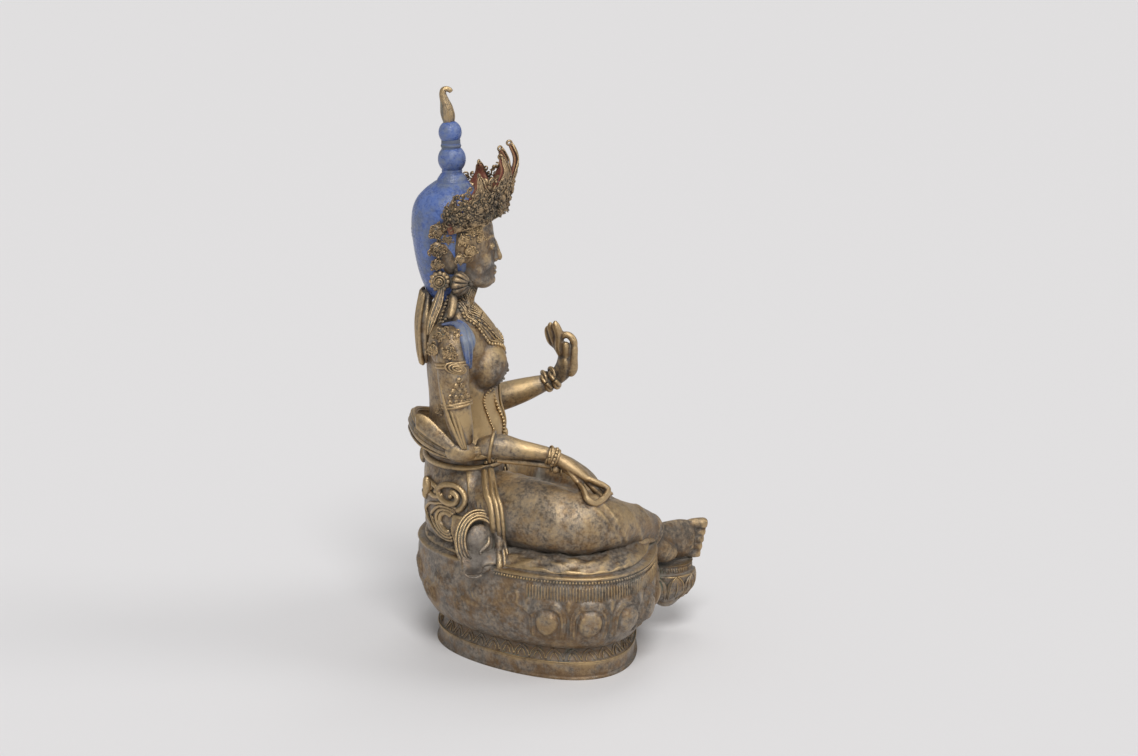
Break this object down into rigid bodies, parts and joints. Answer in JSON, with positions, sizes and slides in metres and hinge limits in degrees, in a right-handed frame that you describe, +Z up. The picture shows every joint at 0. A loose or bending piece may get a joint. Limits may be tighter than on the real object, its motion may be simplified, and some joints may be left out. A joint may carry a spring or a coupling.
{
  "type": "tara figure",
  "caption": "Seated gilt-bronze goddess with blue hair and a leafed crown, one hand raised, one foot on a small lotus, cast with her oval lotus pedestal.",
  "frame": {"origin": "middle of the pedestal's plan, on its underside", "axes": "+Z up, the figure faces -Y, her right hand is on -X"},
  "size_m": [0.2154, 0.1968, 0.3626],
  "materials": {
    "bronze": "dark brown patina over worn gilding",
    "gilt": "worn matt gilding",
    "crown": "worn gilding, dark in the recesses",
    "pedestal": "grey-brown patina with traces of gilding",
    "hair_blue": "matt lapis-blue paint, worn and dusty",
    "red_paint": "matt red-brown paint"
  },
  "bodies": {
    "root": {"tara_figure": "bronze", "crown": "crown", "lotus_base": "pedestal"}
  },
  "joints": []
}
